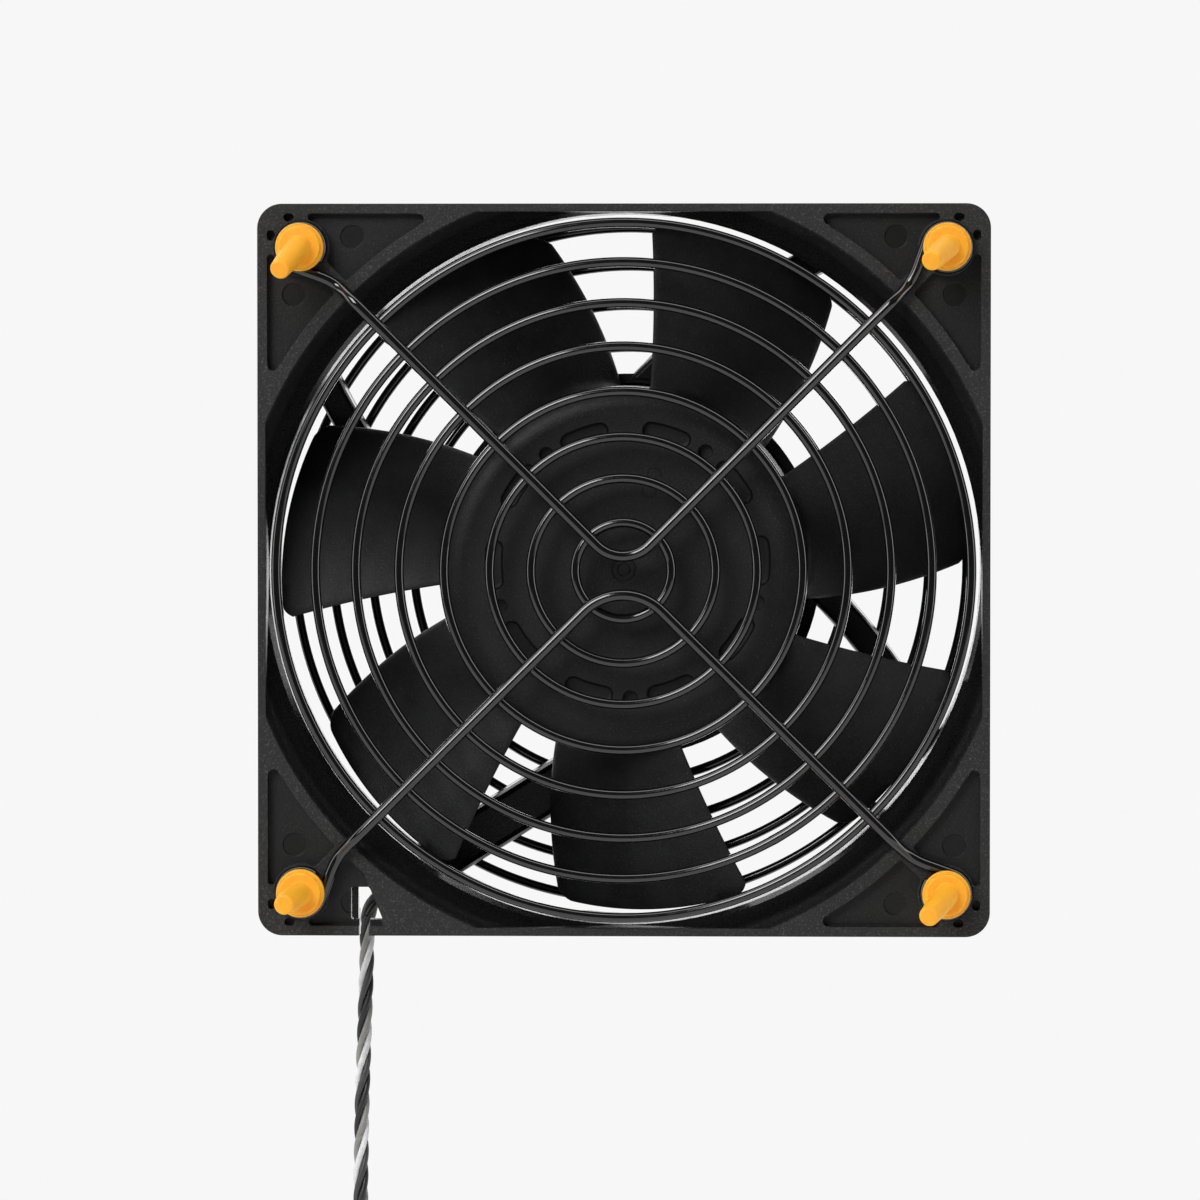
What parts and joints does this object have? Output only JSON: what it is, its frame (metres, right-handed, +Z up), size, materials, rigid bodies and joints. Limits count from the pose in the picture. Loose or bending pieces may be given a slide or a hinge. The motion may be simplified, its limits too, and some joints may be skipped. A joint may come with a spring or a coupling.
{
  "type": "case fan",
  "caption": "Square axial computer case fan with a wire finger guard on each face, soft pull-through mounting pins and a twisted hanging lead with connector.",
  "frame": {"origin": "middle of the four front studs, in the plane of the small discs that a panel rests against", "axes": "+X right and +Z up as the intake face is seen; the air moves along +Y, from the intake face to the outlet face"},
  "size_m": [0.1246, 0.0644, 0.2121],
  "materials": {
    "frame_plastic": "fine grained moulded glass-filled plastic",
    "impeller_plastic": "satin moulded glass-filled plastic",
    "guard_coating": "glossy black coating on steel wire",
    "orange_silicone": "soft silicone, satin",
    "brass": "turned",
    "bearing_steel": "ground and polished",
    "yoke_steel": "drawn, zinc plated",
    "lamination_steel": "stacked laminations",
    "magnet": "bonded ferrite",
    "copper_winding": "enamelled copper wire",
    "nylon": "natural nylon",
    "board": "solder mask",
    "chip_plastic": "moulded epoxy",
    "label": "blank foil sticker",
    "black_rubber": "soft",
    "lead_insulation": "satin PVC insulation in black, charcoal, grey and white",
    "tie_nylon": "moulded nylon",
    "connector_plastic": "moulded"
  },
  "bodies": {
    "stator": {"frame": "frame_plastic", "bearing_tube": "brass", "rear_label": "label", "bearing_plug": "black_rubber", "front_bearing_outer_ring": "bearing_steel", "rear_bearing_outer_ring": "bearing_steel", "bearing_shields": "bearing_steel", "stator_core": "lamination_steel", "front_insulator": "nylon", "rear_insulator": "nylon", "stator_coils": "copper_winding", "circuit_board": "board", "driver_chip": "chip_plastic", "hall_sensor": "chip_plastic", "capacitor": "bearing_steel", "chip_resistors": "chip_plastic", "front_guard_rings": "guard_coating", "front_guard_upper_stay": "guard_coating", "front_guard_lower_stay": "guard_coating", "rear_guard_rings": "guard_coating", "rear_guard_upper_stay": "guard_coating", "rear_guard_lower_stay": "guard_coating", "front_pin_top_left": "orange_silicone", "front_pin_top_right": "orange_silicone", "front_pin_bottom_left": "orange_silicone", "front_pin_bottom_right": "orange_silicone", "rear_pin_top_left": "orange_silicone", "rear_pin_top_right": "orange_silicone", "rear_pin_bottom_left": "orange_silicone", "rear_pin_bottom_right": "orange_silicone", "inner_leads": "lead_insulation", "lead": "lead_insulation", "lead_coil": "lead_insulation", "lead_tie": "tie_nylon", "lead_end": "lead_insulation", "connector_housing": "connector_plastic", "connector_contacts": "brass"},
    "rotor": {"impeller": "impeller_plastic", "rotor_yoke": "yoke_steel", "rotor_magnet": "magnet", "shaft": "bearing_steel", "hub_bush": "brass", "front_bearing_inner_ring": "bearing_steel", "rear_bearing_inner_ring": "bearing_steel", "preload_spring": "bearing_steel", "thrust_washer": "nylon", "retaining_clip": "bearing_steel"},
    "front_balls": {"front_bearing_balls": "bearing_steel", "front_bearing_cage": "brass"},
    "rear_balls": {"rear_bearing_balls": "bearing_steel", "rear_bearing_cage": "brass"}
  },
  "joints": [
    {"name": "rotor_spin", "type": "hinge", "parent": "stator", "child": "rotor", "pos_m": [0, 0, 0], "axis": [0, 1, 0], "continuous": true},
    {"name": "front_balls_orbit", "type": "hinge", "parent": "stator", "child": "front_balls", "pos_m": [0, 0, 0], "axis": [0, 1, 0], "continuous": true},
    {"name": "rear_balls_orbit", "type": "hinge", "parent": "stator", "child": "rear_balls", "pos_m": [0, 0, 0], "axis": [0, 1, 0], "continuous": true}
  ],
  "couplings": [
    {"joint": "front_balls_orbit", "follows": "rotor_spin", "ratio": 0.3892},
    {"joint": "rear_balls_orbit", "follows": "rotor_spin", "ratio": 0.3892}
  ]
}
